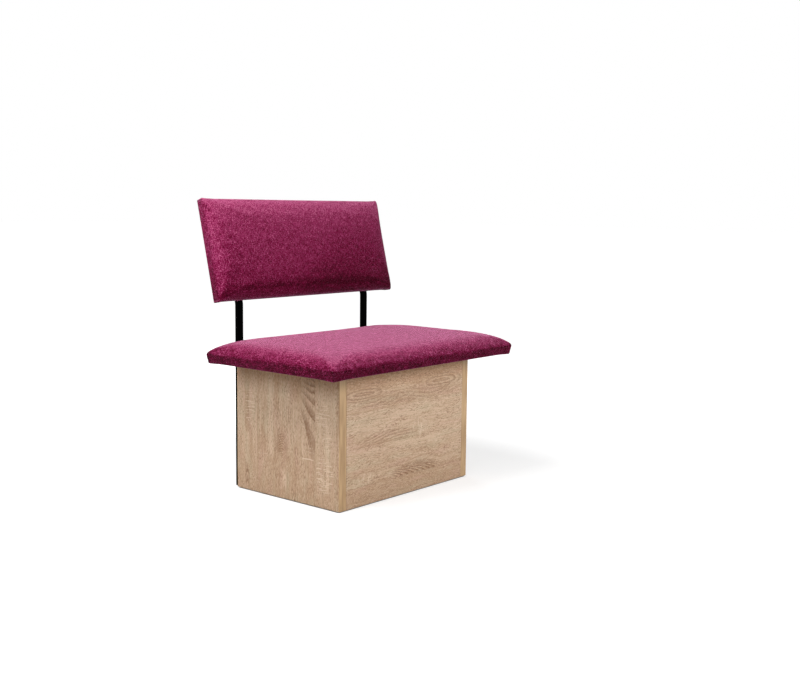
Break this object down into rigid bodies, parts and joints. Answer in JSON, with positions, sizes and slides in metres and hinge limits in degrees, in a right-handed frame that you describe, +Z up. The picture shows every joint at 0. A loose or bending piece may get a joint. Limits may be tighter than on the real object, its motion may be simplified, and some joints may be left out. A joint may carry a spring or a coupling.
{
  "type": "bench with backrest",
  "caption": "Waiting or cafe bench: a box base of laminated board, a crowned upholstered seat that overhangs it, and a leaning upholstered backrest on upright steel tubes.",
  "frame": {"origin": "on the floor, below the middle of the overall width and depth", "axes": "+Z up, +Y towards the backrest, +X to the right of someone looking at the front of the seat"},
  "size_m": [0.8, 0.575, 0.8517],
  "materials": {
    "oak_laminate": "satin laminate with a light oak grain",
    "edge_band": "plain golden beige plastic band",
    "pine": "planed",
    "chipboard": "raw",
    "plywood": "raw",
    "beech": "fluted",
    "foam": "open-cell foam",
    "velvet": "wine-red velvet with a fine mottled weave",
    "lining": "black non-woven lining",
    "black_steel": "black powder coat, satin",
    "black_plastic": "matte",
    "glide_plastic": "matte",
    "zinc": "zinc plated"
  },
  "bodies": {
    "root": {"side_panel_left": "oak_laminate", "side_panel_right": "oak_laminate", "front_panel": "oak_laminate", "rear_panel": "oak_laminate", "front_edge_band_left": "edge_band", "front_edge_band_right": "edge_band", "rear_edge_band_left": "edge_band", "rear_edge_band_right": "edge_band", "seat_batten_left": "pine", "seat_batten_right": "pine", "joint_dowels": "beech", "cam_bolts": "zinc", "cam_locks": "zinc", "batten_screws": "zinc", "seat_screws": "zinc", "floor_glides": "glide_plastic", "glide_nails": "zinc", "seat_board": "chipboard", "seat_foam": "foam", "seat_cover": "velvet", "seat_lining": "lining", "back_board": "plywood", "back_foam": "foam", "back_cover": "velvet", "back_lining": "lining", "post_left": "black_steel", "post_right": "black_steel", "post_foot_plugs": "black_plastic", "post_top_plugs": "black_plastic", "base_inserts": "zinc", "base_bolts": "black_steel", "base_bolt_washers": "zinc", "back_inserts": "zinc", "back_bolts": "black_steel", "back_bolt_washers": "zinc"}
  },
  "joints": []
}
